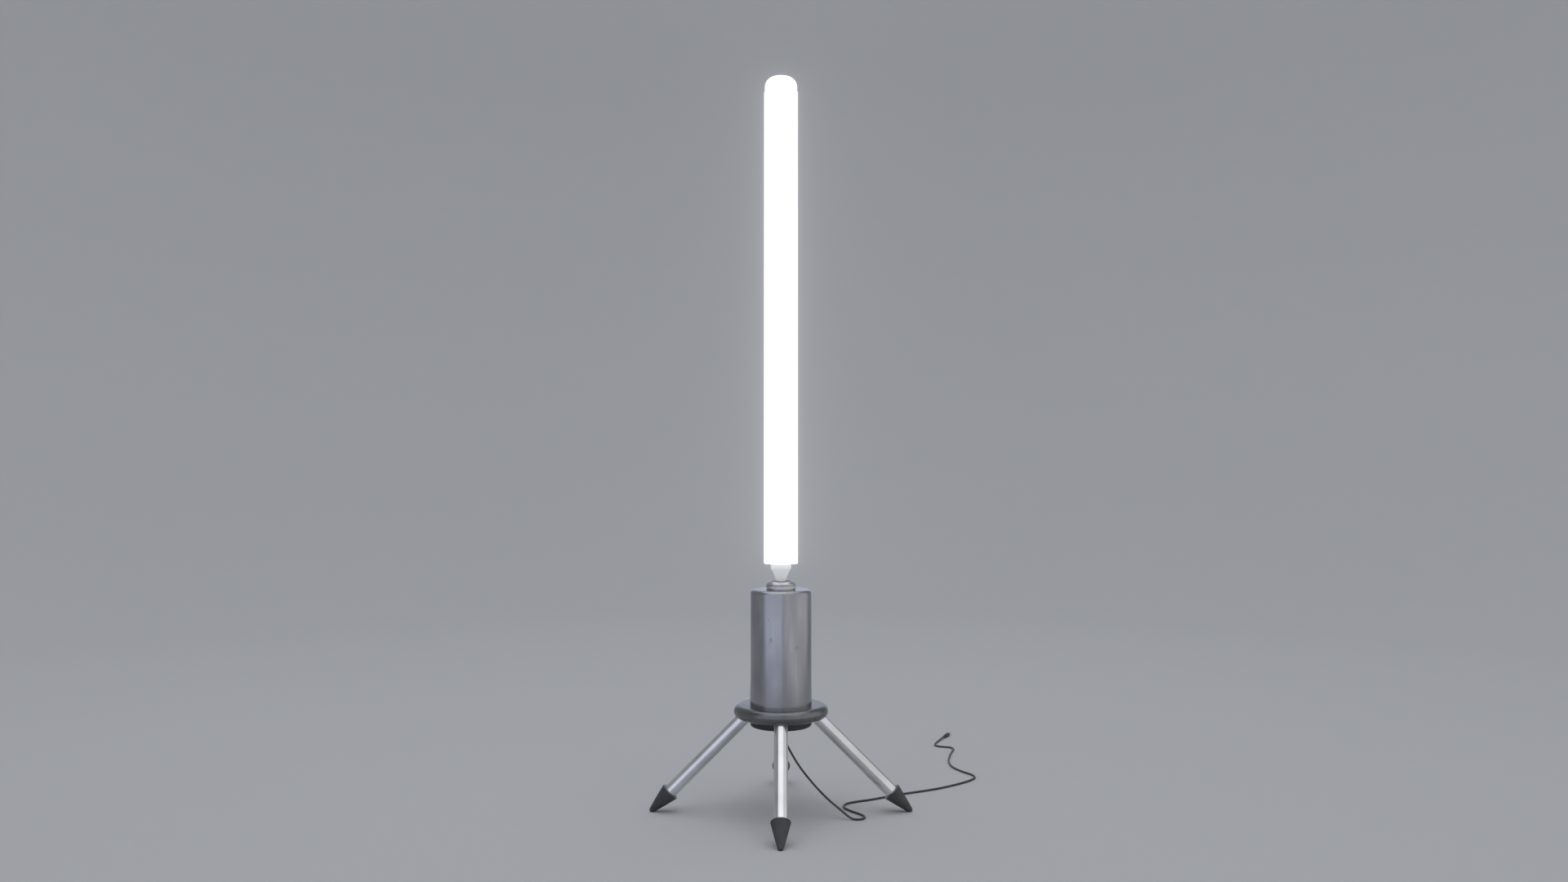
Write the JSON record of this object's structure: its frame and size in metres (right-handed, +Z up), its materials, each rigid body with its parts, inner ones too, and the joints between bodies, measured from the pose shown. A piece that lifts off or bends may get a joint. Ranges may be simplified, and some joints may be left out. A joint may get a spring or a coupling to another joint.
{
  "type": "led light tube",
  "caption": "Upright LED light tube with an opal domed diffuser in a steel driver canister, on a round-edged ring with splayed chrome legs, rubber feet and a thin lead with a barrel plug.",
  "frame": {"origin": "on the floor, on the tube's axis, midway between the four feet", "axes": "+Z up along the tube; -Y is the front, +Y the back where the button is, +X the right, the side the lead runs off to"},
  "size_m": [0.426, 0.6048, 0.8995],
  "materials": {
    "opal_diffuser": "opal, glowing",
    "white_plastic": "semi-gloss",
    "black_plastic": "matt",
    "brass": "satin",
    "aluminium": "extruded",
    "circuit_board": "white solder mask",
    "led": "phosphor",
    "zinc_steel": "zinc plated",
    "brushed_dark_steel": "brushed, dark",
    "satin_steel": "satin turned",
    "gunmetal": "satin gunmetal",
    "black_paint": "semi-gloss black",
    "chrome_tube": "polished",
    "black_rubber": "stippled",
    "button_plastic": "semi-gloss",
    "ferrite": "matt ferrite",
    "capacitor_sleeve": "shrink sleeve",
    "cord_jacket": "soft satin",
    "plug_metal": "nickel plated",
    "plug_liner": "matt"
  },
  "bodies": {
    "stand": {"ballast_weight": "zinc_steel", "board_brackets": "zinc_steel", "board_screws": "zinc_steel", "button_bezel": "satin_steel", "button_spring": "zinc_steel", "canister_shell": "brushed_dark_steel", "capacitors": "capacitor_sleeve", "cord_inner": "cord_jacket", "driver_board": "circuit_board", "foot_back": "black_rubber", "foot_front": "black_rubber", "foot_left": "black_rubber", "foot_right": "black_rubber", "gland_nut": "zinc_steel", "heat_sink": "aluminium", "hub_cover": "black_paint", "hub_screws": "zinc_steel", "leg_back": "chrome_tube", "leg_front": "chrome_tube", "leg_left": "chrome_tube", "leg_right": "chrome_tube", "leg_ring": "gunmetal", "leg_studs": "zinc_steel", "plug_barrel": "plug_metal", "plug_core": "plug_liner", "plug_grip": "cord_jacket", "power_cord": "cord_jacket", "ring_washer": "zinc_steel", "snap_ring": "zinc_steel", "socket_body": "black_plastic", "socket_contact": "brass", "socket_screws": "zinc_steel", "socket_sleeve": "brass", "socket_wires": "cord_jacket", "strain_relief": "cord_jacket", "switch_body": "black_plastic", "terminal_block": "black_plastic", "tie_bolts": "zinc_steel", "transformer": "ferrite"},
    "light_tube": {"diffuser_tube": "opal_diffuser", "diffuser_dome": "opal_diffuser", "dome_seal": "black_plastic", "tube_end_plate": "white_plastic", "end_screws": "zinc_steel", "neck_funnel": "white_plastic", "lamp_stem": "zinc_steel", "stem_insulator": "black_plastic", "stem_pin": "brass", "stem_nut": "brass", "led_spine": "aluminium", "spine_foot": "black_plastic", "spine_head": "black_plastic", "led_strip_front": "circuit_board", "led_strip_right": "circuit_board", "led_strip_back": "circuit_board", "led_strip_left": "circuit_board", "led_chips": "led"},
    "lock_ring": {"lock_ring": "satin_steel"},
    "button": {"power_button": "button_plastic"}
  },
  "joints": [
    {"name": "tube_lift", "type": "slide", "parent": "stand", "child": "light_tube", "axis": [0, 0, 1], "range_m": [0, 0.05]},
    {"name": "lock_ring_turn", "type": "hinge", "parent": "stand", "child": "lock_ring", "pos_m": [0, 0, 0.275], "axis": [0, 0, 1], "range_deg": [0, 90]},
    {"name": "button_press", "type": "slide", "parent": "stand", "child": "button", "axis": [0, -1, 0], "range_m": [0, 0.0015], "stiffness_N_per_m": 800, "springref_m": -0.0004, "deforming": ["button_spring"]}
  ]
}
